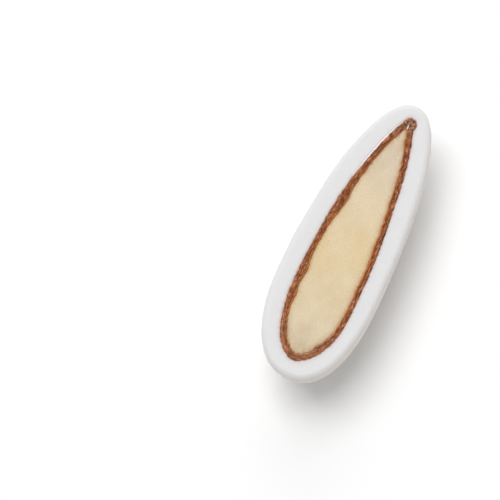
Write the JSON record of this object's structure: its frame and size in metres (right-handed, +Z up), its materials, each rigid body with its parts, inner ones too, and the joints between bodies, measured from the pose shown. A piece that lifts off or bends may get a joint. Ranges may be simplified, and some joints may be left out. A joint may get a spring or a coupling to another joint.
{
  "type": "half sugared almond",
  "caption": "Sugared almond cut lengthwise and lying cut face up: a thick white hard-sugar coat round a brown-skinned almond with a cream kernel",
  "frame": {"origin": "on the surface that the half lies on, under the middle of its bounding box", "axes": "+Z is up and square to the cut face, +Y runs along the half to the pointed tip of the nut, +X is across it"},
  "size_m": [0.0098, 0.0282, 0.0073],
  "materials": {
    "hard_sugar": "matte white hard sugar with a very fine grain",
    "almond_skin": "matte brown fibrous skin, crinkled at the cut",
    "almond_kernel": "satin cream nut flesh, faintly fibrous"
  },
  "bodies": {
    "root": {"sugar_coat": "hard_sugar", "almond_skin": "almond_skin", "almond_kernel": "almond_kernel"}
  },
  "joints": []
}
